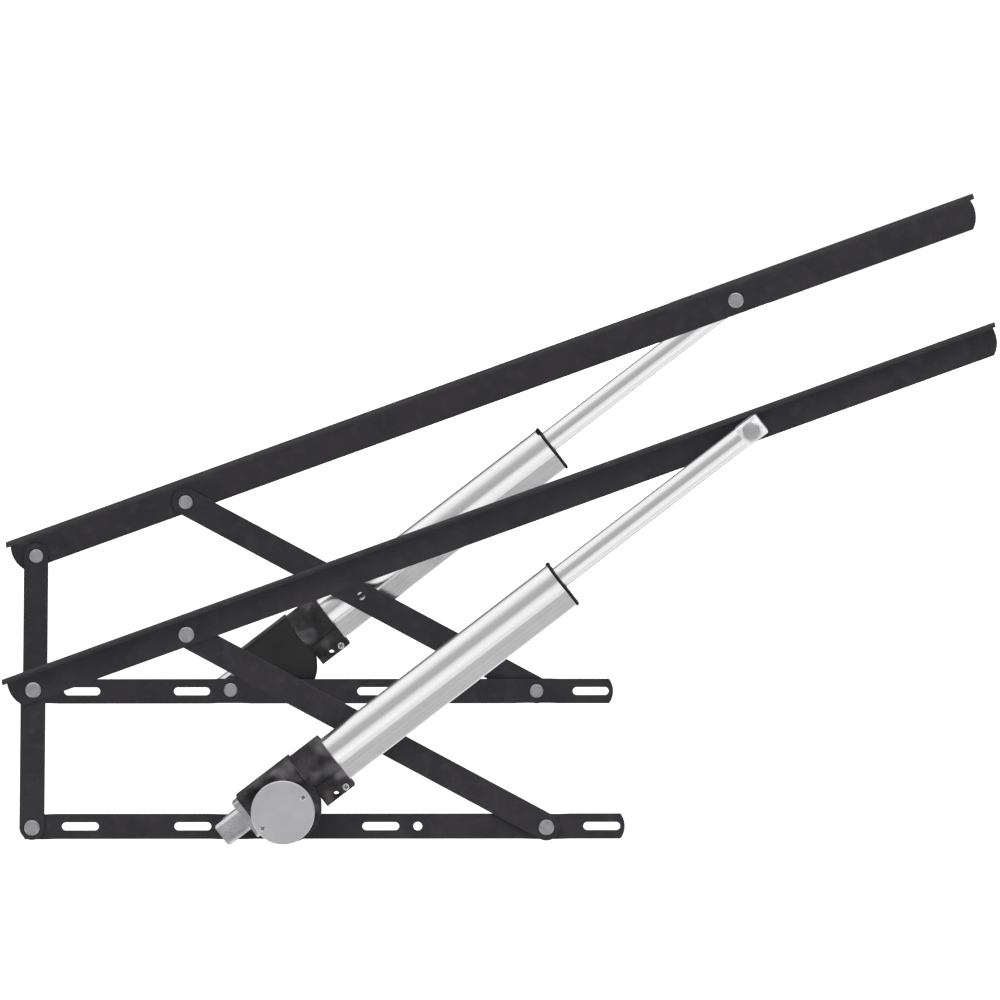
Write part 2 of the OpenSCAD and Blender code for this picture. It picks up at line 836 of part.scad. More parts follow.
module lead_screw() {
    color(steel) on_actuator() round_bar(screw_r, screw_tail, screw_end);
}

// Toothed wheel pressed on the screw
module worm_wheel() {
    root_r = wheel_r - tooth_h;
    color(brass) on_actuator() translate([motor_u - wheel_len / 2, 0, 0]) rotate([0, 90, 0])
        linear_extrude(wheel_len) difference() {
            union() {
                circle(r = root_r);
                for (i = [0 : wheel_teeth - 1]) {
                    rotate(i * 360 / wheel_teeth)
                        translate([0, -tooth_h / 4]) square([wheel_r, tooth_h / 2]);
                }
            }
            circle(r = screw_r + fit);
        }
}

// Motor shaft with its worm and wound armature
module motor_rotor() {
    color(copper) on_actuator() translate([motor_u, 0, -motor_drop]) {
        pin(2 * shaft_r, -case_back - cover_t + 2 * past, can_front);
        pin(2 * worm_r, -case_back + 2 * past, can_back);
        pin(2 * armature_r, armature_back, armature_front);
    }
}

function wanted(side, piece) = node == "all" || node == str(side, "_", piece);

for (side = SIDES) {
    if (wanted(side, "base_rail")) on_side(side) base_rail();
    if (wanted(side, "rail_rivets")) on_side(side) rail_rivets();
    if (wanted(side, "rail_washers")) on_side(side) rail_washers();
    if (wanted(side, "rear_stud")) on_side(side) rear_stud();
    if (wanted(side, "rear_link")) on_side(side) rear_link();
    if (wanted(side, "rear_link_rivet")) on_side(side) rear_link_rivet();
    if (wanted(side, "front_link")) on_side(side) front_link();
    if (wanted(side, "lift_arm")) on_side(side) lift_arm();
    if (wanted(side, "arm_rivets")) on_side(side) arm_rivets();
    if (wanted(side, "pivot_washers")) on_side(side) pivot_washers();
    if (wanted(side, "front_stud")) on_side(side) front_stud();
    if (wanted(side, "rear_end")) on_side(side) rear_end();
    if (wanted(side, "gear_case")) on_side(side) gear_case();
    if (wanted(side, "gear_cover")) on_side(side) gear_cover();
    if (wanted(side, "motor_can")) on_side(side) motor_can();
    if (wanted(side, "motor_end_plate")) on_side(side) motor_end_plate();
    if (wanted(side, "case_screws")) on_side(side) case_screws();
    if (wanted(side, "outer_tube")) on_side(side) outer_tube();
    if (wanted(side, "tube_end_cap")) on_side(side) tube_end_cap();
    if (wanted(side, "thrust_bearing")) on_side(side) thrust_bearing();
    if (wanted(side, "field_magnets")) on_side(side) field_magnets();
    if (wanted(side, "extension_rod")) on_side(side) extension_rod();
    if (wanted(side, "drive_nut")) on_side(side) drive_nut();
    if (wanted(side, "rod_end")) on_side(side) rod_end();
    if (wanted(side, "front_spacer")) on_side(side) front_spacer();
    if (wanted(side, "front_bolt")) on_side(side) front_bolt();
    if (wanted(side, "lead_screw")) on_side(side) lead_screw();
    if (wanted(side, "worm_wheel")) on_side(side) worm_wheel();
    if (wanted(side, "motor_rotor")) on_side(side) motor_rotor();
}
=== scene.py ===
import json
from math import cos, pi, radians, sin

import bmesh
import bpy
from mathutils import Matrix, Vector


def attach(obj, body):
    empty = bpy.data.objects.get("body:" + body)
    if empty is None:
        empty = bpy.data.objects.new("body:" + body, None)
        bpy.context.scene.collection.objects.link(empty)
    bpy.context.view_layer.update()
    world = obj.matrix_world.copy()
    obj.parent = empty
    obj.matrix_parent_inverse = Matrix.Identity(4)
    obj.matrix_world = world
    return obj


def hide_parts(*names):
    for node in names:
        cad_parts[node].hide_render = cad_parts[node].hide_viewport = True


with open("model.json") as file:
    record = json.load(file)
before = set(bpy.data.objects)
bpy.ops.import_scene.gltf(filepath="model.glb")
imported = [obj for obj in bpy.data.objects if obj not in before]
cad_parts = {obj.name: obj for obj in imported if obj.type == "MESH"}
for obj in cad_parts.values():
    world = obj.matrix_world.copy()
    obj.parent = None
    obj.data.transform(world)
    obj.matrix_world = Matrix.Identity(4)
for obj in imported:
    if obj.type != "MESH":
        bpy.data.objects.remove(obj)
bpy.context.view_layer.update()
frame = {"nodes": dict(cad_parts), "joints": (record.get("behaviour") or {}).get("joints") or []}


# Base rails: flat steel bars, slotted for the bed's screws and pressed out at their pivots.
# They are cut and pierced, then powder coated in satin charcoal, which leaves a fine orange
# peel and small changes of gloss.
SIDES = ("right", "left")
NOISE_SPAN = (0.3, 0.7)
SMUDGE_SPAN = (0.45, 1.05)
EDGE_SAMPLES = 4


def new_group(name, inputs, outputs):
    """A shader node group with named float sockets, and its input and output nodes."""
    tree = bpy.data.node_groups.new(name, "ShaderNodeTree")
    for label, value in inputs.items():
        socket = tree.interface.new_socket(label, in_out="INPUT", socket_type="NodeSocketFloat")
        socket.default_value = value
    for label in outputs:
        tree.interface.new_socket(label, in_out="OUTPUT", socket_type="NodeSocketFloat")
    return tree, tree.nodes.new("NodeGroupInput"), tree.nodes.new("NodeGroupOutput")


def place_group(tree, group, values):
    """Puts a shared effect in a material with its own values."""
    node = tree.nodes.new("ShaderNodeGroup")
    node.node_tree = group
    for label, value in values.items():
        node.inputs[label].default_value = value
    return node


def ranged(tree, value, given=(0.0, 1.0), wanted=(0.0, 1.0), kind="LINEAR"):
    """A value carried from the given range to the wanted one, and held at its ends."""
    node = tree.nodes.new("ShaderNodeMapRange")
    node.interpolation_type = kind
    for label, number in zip(("From Min", "From Max", "To Min", "To Max"), (*given, *wanted)):
        node.inputs[label].default_value = number
    tree.links.new(value, node.inputs["Value"])
    return node.outputs["Result"]


def noise(tree, coords, scale, detail, rough=0.5):
    """A noise mask from 0 to 1; its scale is a number or a socket."""
    node = tree.nodes.new("ShaderNodeTexNoise")
    node.inputs["Detail"].default_value = detail
    node.inputs["Roughness"].default_value = rough
    tree.links.new(coords, node.inputs["Vector"])
    if isinstance(scale, float):
        node.inputs["Scale"].default_value = scale
    else:
        tree.links.new(scale, node.inputs["Scale"])
    return ranged(tree, node.outputs["Fac"], NOISE_SPAN)


# Skin of a sprayed, cast or plated surface: a fine peel, broad patches, and a few smudges.
skin, skin_in, skin_out = new_group(
    "surface_skin",
    {"Peel Scale": 600.0, "Patch Scale": 25.0, "Smudge Scale": 40.0},
    ("Peel", "Patch", "Smudge"),
)
skin_at = skin.nodes.new("ShaderNodeTexCoord").outputs["Object"]
peel_mask = noise(skin, skin_at, skin_in.outputs["Peel Scale"], 2.0)
patch_mask = noise(skin, skin_at, skin_in.outputs["Patch Scale"], 5.0, 0.6)
smudge_mask = noise(skin, skin_at, skin_in.outputs["Smudge Scale"], 2.0)
skin.links.new(peel_mask, skin_out.inputs["Peel"])
skin.links.new(patch_mask, skin_out.inputs["Patch"])
skin.links.new(ranged(skin, smudge_mask, SMUDGE_SPAN, kind="SMOOTHSTEP"), skin_out.inputs["Smudge"])


def new_finish(name):
    """An empty material and its Principled shader."""
    finish = bpy.data.materials.new(name)
    finish.use_nodes = True
    tree = finish.node_tree
    tree.nodes.clear()
    shader = tree.nodes.new("ShaderNodeBsdfPrincipled")
    out = tree.nodes.new("ShaderNodeOutputMaterial")
    tree.links.new(shader.outputs["BSDF"], out.inputs["Surface"])
    return finish, shader


def tint(tree, mask, low, high):
    """A colour that runs from low to high as the mask does; low is a colour or a socket."""
    mix = tree.nodes.new("ShaderNodeMix")
    mix.data_type = "RGBA"
    if isinstance(low, tuple):
        mix.inputs["A"].default_value = (*low, 1)
    else:
        tree.links.new(low, mix.inputs["A"])
    mix.inputs["B"].default_value = (*high, 1)
    tree.links.new(mask, mix.inputs["Factor"])
    return mix.outputs["Result"]


def relief(tree, height, depth, shader, edge=0.0):
    """A bump of the given depth in metres, over edges rounded by the given radius."""
    bump = tree.nodes.new("ShaderNodeBump")
    bump.inputs["Strength"].default_value = 1.0
    bump.inputs["Distance"].default_value = depth
    tree.links.new(height, bump.inputs["Height"])
    if edge:
        rounded = tree.nodes.new("ShaderNodeBevel")
        rounded.samples = EDGE_SAMPLES
        rounded.inputs["Radius"].default_value = edge
        tree.links.new(rounded.outputs["Normal"], bump.inputs["Normal"])
    tree.links.new(bump.outputs["Normal"], shader.inputs["Normal"])


def skin_finish(
    name, peel, patch, tones, gloss, gloss_by="Patch", metallic=0.0, specular=0.5,
    smudge=None, bump=0.0, edge=0.0,
):
    """A finish whose tone, gloss and relief follow the skin; a pair runs from low to high."""
    finish, shader = new_finish(name)
    tree = finish.node_tree
    layer = place_group(tree, skin, {"Peel Scale": peel, "Patch Scale": patch})
    tone = tint(tree, layer.outputs["Patch"], *tones)
    if smudge:
        smudge_scale, smudge_tone = smudge
        layer.inputs["Smudge Scale"].default_value = smudge_scale
        tone = tint(tree, layer.outputs["Smudge"], tone, smudge_tone)
    tree.links.new(tone, shader.inputs["Base Color"])
    tree.links.new(ranged(tree, layer.outputs[gloss_by], wanted=gloss), shader.inputs["Roughness"])
    if isinstance(metallic, tuple):
        mottled = ranged(tree, layer.outputs["Patch"], wanted=metallic)
        tree.links.new(mottled, shader.inputs["Metallic"])
    else:
        shader.inputs["Metallic"].default_value = metallic
    shader.inputs["Specular IOR Level"].default_value = specular
    if bump:
        relief(tree, layer.outputs["Peel"], bump, shader, edge)
    return finish


def dress(finish, *pieces):
    """Gives CAD pieces of both units their finish."""
    for side in SIDES:
        for piece in pieces:
            for slot in frame["nodes"][f"{side}_{piece}"].material_slots:
                slot.material = finish


charcoal = skin_finish(
    "charcoal_powder_coat", peel=650.0, patch=24.0, specular=0.35,
    tones=((0.0129, 0.0117, 0.0142), (0.0212, 0.0193, 0.0226)), gloss=(0.36, 0.58),
    smudge=(75.0, (0.0232, 0.0213, 0.0247)), bump=0.00010, edge=0.0008,
)
dress(charcoal, "base_rail")


# Rear and front links: flat bars with full-round ends, punched for their rivets and coated
# like the rails.
dress(charcoal, "rear_link", "front_link")


# Lift arms: steel angle, bent with a small round and coated after punching. Their reflection is
# kept off the polished tubes, which then mirror the bright room up to their edges.
dress(charcoal, "lift_arm")
for side in SIDES:
    frame["nodes"][f"{side}_lift_arm"].visible_glossy = False


# Rivets, washers, studs and spacers: steel, zinc plated and dull, with small stains where they
# were closed. The hex bolts that hold the rod ends are plated as well, and a little brighter.
PLATE_GRAIN = {"peel": 1400.0, "patch": 160.0, "gloss_by": "Peel", "bump": 0.00003}
dull_zinc = skin_finish(
    "dull_zinc_plate", metallic=1.0, tones=((0.42, 0.42, 0.44), (0.57, 0.57, 0.59)),
    gloss=(0.34, 0.52), **PLATE_GRAIN,
)
dress(
    dull_zinc, "rail_rivets", "rail_washers", "rear_stud", "rear_link_rivet", "arm_rivets",
    "pivot_washers", "front_stud", "front_spacer",
)
bolt_zinc = skin_finish(
    "bolt_zinc_plate", metallic=1.0, tones=((0.56, 0.56, 0.58), (0.74, 0.74, 0.76)),
    gloss=(0.30, 0.46), **PLATE_GRAIN,
)
dress(bolt_zinc, "front_bolt")


# Rear ends and rod ends: square blocks of cast alloy. The rear ends are machined bright, and the
# rod ends are blasted, which leaves a skin that is mottled between matte and shiny.
bright_alloy = skin_finish(
    "bright_cast_alloy", peel=1100.0, patch=45.0, metallic=1.0,
    tones=((0.46, 0.45, 0.47), (0.90, 0.89, 0.91)), gloss=(0.12, 0.20), bump=0.00004,
)
dress(bright_alloy, "rear_end")
blasted_alloy = skin_finish(
    "blasted_cast_alloy", peel=1100.0, patch=110.0, metallic=(0.15, 0.85),
    tones=((0.93, 0.93, 0.94), (0.86, 0.86, 0.87)), gloss=(0.22, 0.34), bump=0.00005,
)
dress(blasted_alloy, "rod_end")


# Gear cases: black painted castings with a rough skin, which hold the worm drive and clamp
# the foot of the tube in a split collar.
case_black = skin_finish(
    "rough_black_casting", peel=420.0, patch=60.0, specular=0.25,
    tones=((0.002, 0.002, 0.002), (0.036, 0.033, 0.036)), gloss=(0.34, 0.62),
    smudge=(32.0, (0.105, 0.099, 0.105)), bump=0.00030, edge=0.001,
)
dress(case_black, "gear_case")


# Gear covers: smooth black mouldings with a fine spark-eroded grain, which close the gear cases
# and are snapped on from the rail side.
cover_black = skin_finish(
    "smooth_black_moulding", peel=1600.0, patch=30.0, specular=0.35,
    tones=((0.008, 0.008, 0.009), (0.014, 0.014, 0.015)), gloss=(0.38, 0.48),
    bump=0.00003, edge=0.001,
)
dress(cover_black, "gear_cover")


# Motors: a drawn steel can closed by a pressed plate, both zinc plated and matte. Each stands on
# the outer side of its gear case.
motor_zinc = skin_finish(
    "matte_zinc_motor", peel=1800.0, patch=40.0, metallic=1.0,
    tones=((0.69, 0.68, 0.70), (0.77, 0.76, 0.78)), gloss=(0.36, 0.46), gloss_by="Peel",
    bump=0.00002,
)
dress(motor_zinc, "motor_can", "motor_end_plate")


# Small screws: two pan heads in each motor plate and one screw through the collar's lug, with
# cross recesses whose floors are painted dark as shade. They are cold headed, zinc plated and
# brighter than the rivets.
# Their places are metres from the rear stud: along the actuator, outward, and up across it.
HEAD_R, HEAD_HEIGHT, HEAD_ROUND, HEAD_SEGMENTS = 0.0035, 0.0015, 0.0006, 32
CROSS_REACH, CROSS_HALF, CROSS_DEPTH, CROSS_TAPER = 0.0022, 0.0006, 0.001, 0.8
ROUND_SEGMENTS = 3
WELD = 1e-6
PLATE_FACE, MOTOR_ALONG, MOTOR_UP, MOTOR_SCREWS = 0.0405, 0.0525, -0.01425, 0.0255
LUG_ALONG, LUG_UP, LUG_HALF = 0.1165, -0.03475, 0.014
SHANK_R, SHANK_SEGMENTS = 0.00295, 24
OUTWARD = Matrix.Rotation(-pi / 2, 4, "X")
INWARD = Matrix.Rotation(pi / 2, 4, "X")
SCREW_HEADS = (
    ((MOTOR_ALONG - MOTOR_SCREWS, PLATE_FACE, MOTOR_UP), OUTWARD, radians(-5)),
    ((MOTOR_ALONG + MOTOR_SCREWS, PLATE_FACE, MOTOR_UP), OUTWARD, radians(45)),
    ((LUG_ALONG, LUG_HALF, LUG_UP), OUTWARD, radians(35)),
    ((LUG_ALONG, -LUG_HALF, LUG_UP), INWARD, radians(35)),
)
SLOPE = radians(37.682)
REAR_STUD = {
    joint["name"].split("_")[0]: Vector(joint["pos_m"])
    for joint in frame["joints"] if joint["name"].endswith("screw_spin")
}


def unit_place(side):
    """From metres along the actuator, outward and up, at the rear stud, to the part's frame."""
    along = Vector((cos(SLOPE), 0, sin(SLOPE)))
    outward = Vector((0, -1 if side == "right" else 1, 0))
    up = Vector((-sin(SLOPE), 0, cos(SLOPE)))
    return Matrix.Translation(REAR_STUD[side]) @ Matrix((along, outward, up)).transposed().to_4x4()


def add_piece(name, mesh, finish, body):
    """Closes up a mesh, and makes it a piece that rides on a body."""
    bmesh.ops.remove_doubles(mesh, verts=mesh.verts, dist=WELD)
    bmesh.ops.recalc_face_normals(mesh, faces=mesh.faces)
    piece = bpy.data.objects.new(name, bpy.data.meshes.new(name))
    mesh.to_mesh(piece.data)
    mesh.free()
    piece.data.materials.append(finish)
    bpy.context.scene.collection.objects.link(piece)
    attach(piece, body)
    return piece


def round_edges(mesh, edges, size):
    """Rounds edges over by the given size, and gives the new vertices."""
    return bmesh.ops.bevel(
        mesh, geom=edges, offset=size, offset_type="OFFSET", segments=ROUND_SEGMENTS, profile=0.5,
        affect="EDGES", material=-1,
    )["verts"]


def drawn_down(mesh, edges, depth):
    """Draws a loop of edges straight down, and gives its new vertices and edges."""
    drawn = bmesh.ops.extrude_edge_only(mesh, edges=edges)["geom"]
    verts = [g for g in drawn if isinstance(g, bmesh.types.BMVert)]
    bmesh.ops.translate(mesh, verts=verts, vec=(0, 0, -depth))
    return verts, [g for g in drawn if isinstance(g, bmesh.types.BMEdge)]


def add_pan_head(mesh, place):
    """A pan head on the plane z = 0 of its place, with a cross recess."""
    rim = bmesh.ops.create_circle(mesh, segments=HEAD_SEGMENTS, radius=HEAD_R)["verts"]
    rim_edges = list(dict.fromkeys(e for v in rim for e in v.link_edges))
    reach, half = CROSS_REACH, CROSS_HALF
    corners = [
        (reach, -half), (reach, half), (half, half),
        (half, reach), (-half, reach), (-half, half),
        (-reach, half), (-reach, -half), (-half, -half),
        (-half, -reach), (half, -reach), (half, -half),
    ]
    cross = [mesh.verts.new((x, y, 0)) for x, y in corners]
    cross_edges = [mesh.edges.new((v, cross[(i + 1) % len(cross)])) for i, v in enumerate(cross)]
    bmesh.ops.triangle_fill(mesh, edges=rim_edges + cross_edges, use_beauty=True)
    sunk, sunk_edges = drawn_down(mesh, cross_edges, CROSS_DEPTH)
    bmesh.ops.scale(mesh, verts=sunk, vec=(CROSS_TAPER, CROSS_TAPER, 1))
    bmesh.ops.contextual_create(mesh, geom=sunk_edges)
    # The recess floors take the second material, painted dark as shade.
    for face in {f for v in sunk for f in v.link_faces}:
        face.material_index = 1
    skirt, skirt_edges = drawn_down(mesh, rim_edges, HEAD_HEIGHT)
    bmesh.ops.contextual_create(mesh, geom=skirt_edges)
    rounded = round_edges(mesh, rim_edges, HEAD_ROUND)
    head = [v for v in {*rim, *cross, *sunk, *skirt, *rounded} if v.is_valid]
    bmesh.ops.transform(mesh, matrix=place @ Matrix.Translation((0, 0, HEAD_HEIGHT)), verts=head)


bright_zinc = skin_finish(
    "bright_zinc_plate", peel=1600.0, patch=300.0, metallic=1.0,
    tones=((0.76, 0.76, 0.77), (0.90, 0.90, 0.91)), gloss=(0.22, 0.34), gloss_by="Peel",
)
# Painted shade: a dark matte finish that stands in for the shade inside the cross recesses.
painted_shade_recess = skin_finish(
    "painted_shade_recess", peel=1600.0, patch=300.0,
    tones=((0.050, 0.050, 0.050), (0.110, 0.110, 0.110)), gloss=(0.5, 0.7), gloss_by="Peel",
)
for side in SIDES:
    screws = bmesh.new()
    for at, facing, turn in SCREW_HEADS:
        add_pan_head(screws, Matrix.Translation(at) @ facing @ Matrix.Rotation(turn, 4, "Z"))
    bmesh.ops.create_cone(
        screws, cap_ends=True, segments=SHANK_SEGMENTS, radius1=SHANK_R, radius2=SHANK_R,
        depth=2 * LUG_HALF, matrix=Matrix.Translation((LUG_ALONG, 0, LUG_UP)) @ OUTWARD,
    )
    bmesh.ops.transform(screws, matrix=unit_place(side), verts=screws.verts)
    screw_set = add_piece(
        f"{side}_small_screws", screws, bright_zinc, f"{side}_actuator"
    )
    # The second slot holds the painted shade of the cross recesses.
    screw_set.data.materials.append(painted_shade_recess)
    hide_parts(f"{side}_case_screws")


# Outer tubes: silver anodised extrusions, round on top with a flat wiring channel below. The
# die leaves faint lines along them.
STREAK_SIZE = (0.6, 0.002, 0.002)
CLOUD_SCALE = 60.0
streaks, streaks_in, streaks_out = new_group("drawn_streaks", {"Scale": 1.0}, ("Streak", "Cloud"))
streaks_at = streaks.nodes.new("ShaderNodeTexCoord").outputs["Object"]
lengthwise = streaks.nodes.new("ShaderNodeMapping")
lengthwise.vector_type = "TEXTURE"
lengthwise.inputs["Rotation"].default_value = (0, -SLOPE, 0)
lengthwise.inputs["Scale"].default_value = STREAK_SIZE
streaks.links.new(streaks_at, lengthwise.inputs["Vector"])
streak_mask = noise(streaks, lengthwise.outputs["Vector"], streaks_in.outputs["Scale"], 3.0)
streaks.links.new(streak_mask, streaks_out.inputs["Streak"])
streaks.links.new(noise(streaks, streaks_at, CLOUD_SCALE, 3.0), streaks_out.inputs["Cloud"])


def streak_finish(name, scale, tones, gloss, bump):
    """A bright metal finish with faint lines along the actuator."""
    finish, shader = new_finish(name)
    tree = finish.node_tree
    lines = place_group(tree, streaks, {"Scale": scale})
    shader.inputs["Metallic"].default_value = 1.0
    tree.links.new(tint(tree, lines.outputs["Streak"], *tones), shader.inputs["Base Color"])
    tree.links.new(ranged(tree, lines.outputs["Cloud"], wanted=gloss), shader.inputs["Roughness"])
    relief(tree, lines.outputs["Streak"], bump, shader)
    return finish


tube_silver = streak_finish(
    "silver_anodised_tube", 1.0, ((0.91, 0.91, 0.92), (0.99, 0.99, 1.0)), (0.19, 0.26), 0.00002
)
dress(tube_silver, "outer_tube")


# Tube caps: black mouldings pressed on the tubes, with a small latch stud on the rail side, and a
# rubber wiper where the rod comes out.
CAP_FRONT = 0.4125
LATCH_R, LATCH_LEN, LATCH_ROUND, LATCH_SEGMENTS = 0.0024, 0.006, 0.0006, 24
LATCH_AT = (CAP_FRONT - 0.0016, -0.0095, 0.0162)
SHARP_ANGLE = 1.0

# The wiper's outline: forward of the cap, and from the rod's axis.
WIPER_OUTLINE = (
    (0.0, 0.0132), (0.0004, 0.0131), (0.0008, 0.0122),
    (0.0009, 0.0117), (0.0007, 0.0114), (0.0, 0.0114),
)
WIPER_STEPS = 64

cap_black = skin_finish(
    "deep_black_moulding", peel=1600.0, patch=60.0, specular=0.2,
    tones=((0.002, 0.002, 0.002), (0.006, 0.006, 0.006)), gloss=(0.40, 0.55), bump=0.00002,
)
dress(cap_black, "tube_end_cap")
rubber = skin_finish(
    "soft_black_rubber", peel=1200.0, patch=80.0,
    tones=((0.012, 0.012, 0.012), (0.022, 0.022, 0.022)), gloss=(0.55, 0.75), gloss_by="Peel",
)
for side in SIDES:
    latch = bmesh.new()
    bmesh.ops.create_cone(
        latch, cap_ends=True, segments=LATCH_SEGMENTS, radius1=LATCH_R, radius2=LATCH_R,
        depth=LATCH_LEN, matrix=Matrix.Translation(LATCH_AT) @ INWARD,
    )
    rims = [edge for edge in latch.edges if edge.calc_face_angle(0) > SHARP_ANGLE]
    round_edges(latch, rims, LATCH_ROUND)
    bmesh.ops.transform(latch, matrix=unit_place(side), verts=latch.verts)
    add_piece(f"{side}_cap_latch", latch, cap_black, f"{side}_actuator")

    wiper = bmesh.new()
    loop = [wiper.verts.new((CAP_FRONT + forward, 0, radius)) for forward, radius in WIPER_OUTLINE]
    ring = [wiper.edges.new((v, loop[(i + 1) % len(loop)])) for i, v in enumerate(loop)]
    bmesh.ops.spin(
        wiper, geom=loop + ring, cent=(0, 0, 0), axis=(1, 0, 0), angle=2 * pi, steps=WIPER_STEPS,
        use_merge=True,
    )
    bmesh.ops.transform(wiper, matrix=unit_place(side), verts=wiper.verts)
    add_piece(f"{side}_rod_wiper", wiper, rubber, f"{side}_actuator")


# Extension rods: plated steel tube, ground bright, with hair lines from the polishing belt. They
# slide out of the outer tubes and carry the rod ends.
rod_bright = streak_finish(
    "bright_plated_rod", 2.0, ((0.88, 0.88, 0.89), (0.95, 0.95, 0.96)), (0.16, 0.22), 0.00001
)
dress(rod_bright, "extension_rod")


# Inside the gear case and the motor: ground steel screw and bearing, brass wheel, acetal nut,
# dark magnets and a copper-wound armature. They are closed in and show only when taken apart.
GLOSS_CHANGE = 0.15

# Finish, dark and pale tone, metallic, roughness, and the pieces that have it.
INNER_FINISHES = (
    (
        "ground_steel", (0.42, 0.42, 0.44), (0.55, 0.55, 0.57), 1.0, 0.25,
        ("lead_screw", "thrust_bearing"),
    ),
    ("cut_brass", (0.55, 0.38, 0.12), (0.70, 0.50, 0.18), 1.0, 0.25, ("worm_wheel",)),
    ("natural_acetal", (0.66, 0.63, 0.54), (0.74, 0.71, 0.62), 0.0, 0.35, ("drive_nut",)),
    ("dark_ferrite", (0.05, 0.05, 0.055), (0.09, 0.09, 0.095), 0.0, 0.55, ("field_magnets",)),
    ("wound_copper", (0.40, 0.16, 0.07), (0.55, 0.24, 0.11), 1.0, 0.30, ("motor_rotor",)),
)
for name, dark, pale, metallic, gloss, pieces in INNER_FINISHES:
    inner = skin_finish(
        name, peel=800.0, patch=120.0, metallic=metallic, tones=(dark, pale),
        gloss=(gloss, gloss + GLOSS_CHANGE), gloss_by="Peel",
    )
    dress(inner, *pieces)


# Studio: a white floor below the mechanism's lowest travel, soft boxes all round, and a white
# surround. Polished metal mirrors a room of soft grey tones, with two dark bands at the back.
FLOOR_Z, FLOOR_HALF = -0.03, 30.0
FLOOR_TONE, FLOOR_GLOW = 0.5, 0.85
AMBIENT = 0.55
DARK_BAND = 0.12
BAND_BACK, BAND_ABOVE, BAND_BELOW = (0.62, 0.82), (0.02, 0.12), (-0.24, -0.36)

# Tones that polished metal mirrors, by the height of the direction from -1 to 1.
MIRRORED = (
    (-1.0, 0.45), (-0.92, 0.58), (-0.84, 0.82), (-0.72, 0.95), (-0.61, 1.0), (-0.48, 0.92),
    (-0.32, 0.84), (-0.21, 0.68), (-0.11, 0.42), (0.22, 0.46), (0.43, 0.49), (0.57, 0.68),
    (0.68, 0.92), (0.75, 1.0),
)

# Soft boxes: place, size and power.
LAMP_AIM = Vector((0, 0, 0.2))
LAMPS = {
    "key": ((-1.5, -4.2, 2.8), 3.0, 160.0),
    "fill": ((2.5, -4.5, 1.2), 3.0, 110.0),
    "top": ((0.0, 0.0, 4.5), 4.0, 12.0),
    "rear": ((0.5, 4.6, 1.1), 3.0, 150.0),
}


def joined(tree, operation, first, second):
    """Two values joined by one arithmetic step."""
    node = tree.nodes.new("ShaderNodeMath")
    node.operation = operation
    tree.links.new(first, node.inputs[0])
    tree.links.new(second, node.inputs[1])
    return node.outputs["Value"]


def seen_mask(tree):
    """1 for camera, glossy and transmission rays, and 0 for the rest."""
    rays = tree.nodes.new("ShaderNodeLightPath").outputs
    mirrored = joined(tree, "MAXIMUM", rays["Is Camera Ray"], rays["Is Glossy Ray"])
    return joined(tree, "MAXIMUM", mirrored, rays["Is Transmission Ray"])


def blend_shaders(tree, mask, first, second, target):
    """Shows the first shader where the mask is 0, and the second where it is 1."""
    mix = tree.nodes.new("ShaderNodeMixShader")
    tree.links.new(mask, mix.inputs["Fac"])
    tree.links.new(first, mix.inputs[1])
    tree.links.new(second, mix.inputs[2])
    tree.links.new(mix.outputs["Shader"], target)


floor_paint = bpy.data.materials.new("pale_floor")
floor_paint.use_nodes = True
paint_tree = floor_paint.node_tree
paint_tree.nodes.clear()
paint_out = paint_tree.nodes.new("ShaderNodeOutputMaterial")
shaded = paint_tree.nodes.new("ShaderNodeBsdfDiffuse")
shaded.inputs["Color"].default_value = (FLOOR_TONE, FLOOR_TONE, FLOOR_TONE, 1)
glow = paint_tree.nodes.new("ShaderNodeEmission")
glow.inputs["Color"].default_value = (FLOOR_GLOW, FLOOR_GLOW, FLOOR_GLOW, 1)
lit = paint_tree.nodes.new("ShaderNodeAddShader")
paint_tree.links.new(shaded.outputs["BSDF"], lit.inputs[0])
paint_tree.links.new(glow.outputs["Emission"], lit.inputs[1])
blend_shaders(
    paint_tree, seen_mask(paint_tree), shaded.outputs["BSDF"], lit.outputs["Shader"],
    paint_out.inputs["Surface"],
)
board = bmesh.new()
board.faces.new([
    board.verts.new((x * FLOOR_HALF, y * FLOOR_HALF, FLOOR_Z))
    for x, y in ((-1, -1), (1, -1), (1, 1), (-1, 1))
])
floor = bpy.data.objects.new("floor", bpy.data.meshes.new("floor"))
board.to_mesh(floor.data)
board.free()
floor.data.materials.append(floor_paint)
bpy.context.scene.collection.objects.link(floor)
floor.visible_glossy = False

world = bpy.data.worlds.new("white_surround")
bpy.context.scene.world = world
world.use_nodes = True
world_tree = world.node_tree
world_tree.nodes.clear()
world_out = world_tree.nodes.new("ShaderNodeOutputWorld")
ambient = world_tree.nodes.new("ShaderNodeBackground")
ambient.inputs["Strength"].default_value = AMBIENT
backdrop = world_tree.nodes.new("ShaderNodeBackground")
backdrop.inputs["Color"].default_value = (1, 1, 1, 1)

heading = world_tree.nodes.new("ShaderNodeSeparateXYZ")
direction = world_tree.nodes.new("ShaderNodeTexCoord").outputs["Generated"]
world_tree.links.new(direction, heading.inputs["Vector"])
tones = world_tree.nodes.new("ShaderNodeValToRGB")
while len(tones.color_ramp.elements) < len(MIRRORED):
    tones.color_ramp.elements.new(0.5)
for stop, (level, tone) in zip(tones.color_ramp.elements, MIRRORED):
    stop.position = (level + 1) / 2
    stop.color = (tone, tone, tone, 1)
world_tree.links.new(ranged(world_tree, heading.outputs["Z"], (-1.0, 1.0)), tones.inputs["Fac"])

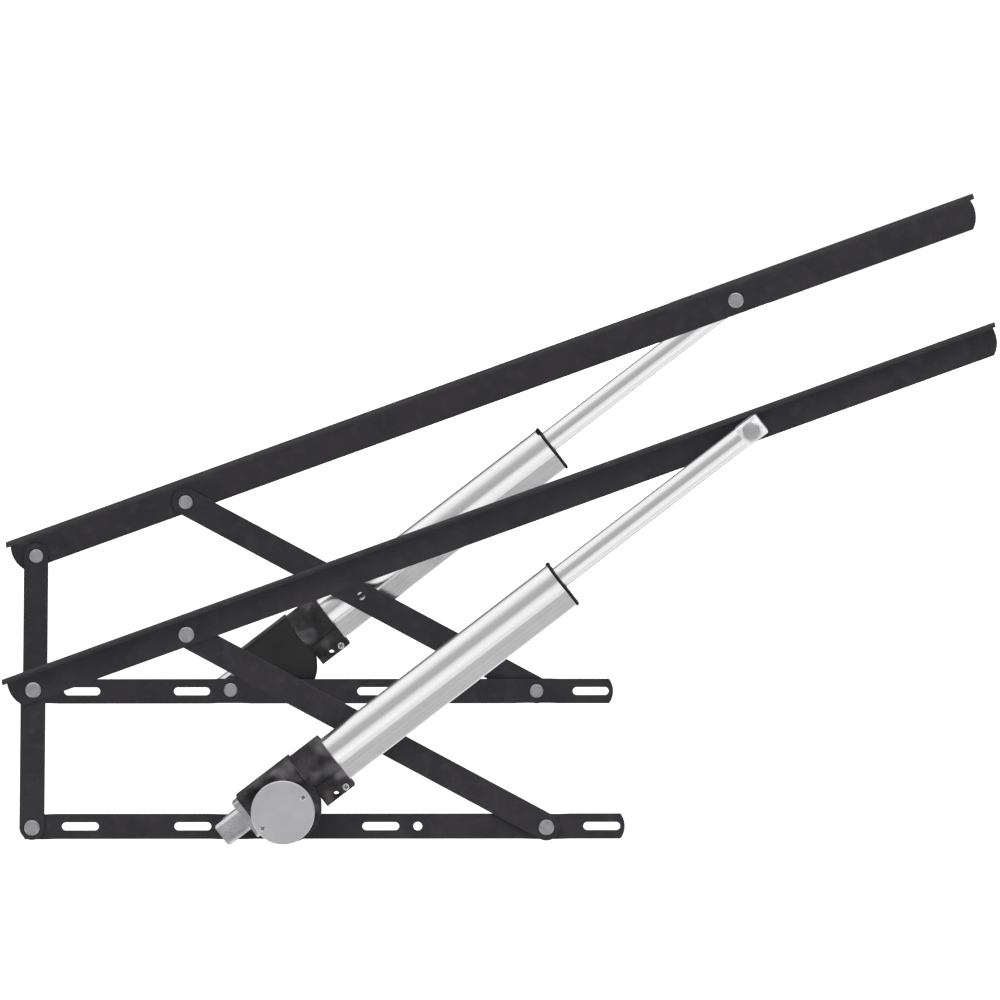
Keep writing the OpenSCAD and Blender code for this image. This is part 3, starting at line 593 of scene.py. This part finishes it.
above = ranged(world_tree, heading.outputs["Z"], BAND_ABOVE, kind="SMOOTHSTEP")
below = ranged(world_tree, heading.outputs["Z"], BAND_BELOW, kind="SMOOTHSTEP")
at_back = ranged(world_tree, heading.outputs["Y"], BAND_BACK, kind="SMOOTHSTEP")
bands = joined(world_tree, "MULTIPLY", at_back, joined(world_tree, "MAXIMUM", above, below))
room_tone = tint(world_tree, bands, tones.outputs["Color"], (DARK_BAND, DARK_BAND, DARK_BAND))
room = world_tree.nodes.new("ShaderNodeBackground")
world_tree.links.new(room_tone, room.inputs["Color"])
rays = world_tree.nodes.new("ShaderNodeLightPath")
seen = world_tree.nodes.new("ShaderNodeMixShader")
world_tree.links.new(rays.outputs["Is Glossy Ray"], seen.inputs["Fac"])
world_tree.links.new(backdrop.outputs["Background"], seen.inputs[1])
world_tree.links.new(room.outputs["Background"], seen.inputs[2])
blend_shaders(
    world_tree, seen_mask(world_tree), ambient.outputs["Background"], seen.outputs["Shader"],
    world_out.inputs["Surface"],
)

for name, (place, size, power) in LAMPS.items():
    lamp = bpy.data.lights.new(name, "AREA")
    lamp.size = size
    lamp.energy = power
    soft_box = bpy.data.objects.new(name, lamp)
    soft_box.location = place
    soft_box.rotation_euler = (LAMP_AIM - Vector(place)).to_track_quat("-Z", "Y").to_euler()
    soft_box.visible_glossy = False
    bpy.context.scene.collection.objects.link(soft_box)


# Camera: a long lens almost square to the units and a little above them. A pixel is about a
# millimetre on the near unit.
AIM = Vector((0.0006, -0.63, 0.26))
AZIMUTH, ELEVATION = radians(-0.416), radians(6.212)
DISTANCE, RAISE = 47.0, 0.08435
PIXELS_PER_METRE, IMAGE_SIDE = 1000.88, 1000
SENSOR_WIDTH, CLIP_END = 36.0, 200.0
camera_data = bpy.data.cameras.new("camera")
camera_data.sensor_width = SENSOR_WIDTH
camera_data.lens = PIXELS_PER_METRE * DISTANCE * SENSOR_WIDTH / IMAGE_SIDE
camera_data.clip_end = CLIP_END
camera = bpy.data.objects.new("camera", camera_data)
back = Vector((sin(AZIMUTH) * cos(ELEVATION), -cos(AZIMUTH) * cos(ELEVATION), sin(ELEVATION)))
upward = back.cross(Vector((cos(AZIMUTH), sin(AZIMUTH), 0)))
camera.location = AIM + upward * RAISE + back * DISTANCE
camera.rotation_euler = (-back).to_track_quat("-Z", "Y").to_euler()
bpy.context.scene.collection.objects.link(camera)
bpy.context.scene.camera = camera
bpy.context.scene.view_settings.view_transform = "Standard"
